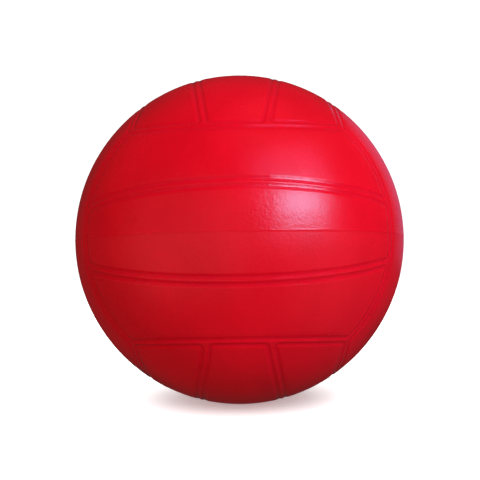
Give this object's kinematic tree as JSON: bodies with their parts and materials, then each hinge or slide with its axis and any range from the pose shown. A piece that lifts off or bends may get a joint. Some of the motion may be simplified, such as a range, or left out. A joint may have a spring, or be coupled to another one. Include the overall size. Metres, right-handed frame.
{
  "type": "playground rubber ball",
  "caption": "Air-filled moulded rubber playground ball with volleyball-style panel grooves and a recessed inflation valve.",
  "frame": {"origin": "centre of the ball", "axes": "+Z out through the inflation valve, -Y towards the front face, whose strips run along X"},
  "size_m": [0.216, 0.216, 0.2159],
  "materials": {
    "cover_rubber": "satin, fine moulded grain",
    "carcass_rubber": "matt",
    "nylon_thread": "wound thread set in latex",
    "butyl_rubber": "satin",
    "patch_rubber": "matt",
    "valve_rubber": "satin",
    "insert_rubber": "satin, oiled"
  },
  "bodies": {
    "root": {"outer_cover": "cover_rubber", "carcass_ply": "carcass_rubber", "nylon_winding": "nylon_thread", "bladder": "butyl_rubber", "valve_patch": "patch_rubber", "valve_housing": "valve_rubber", "valve_insert": "insert_rubber"}
  },
  "joints": []
}
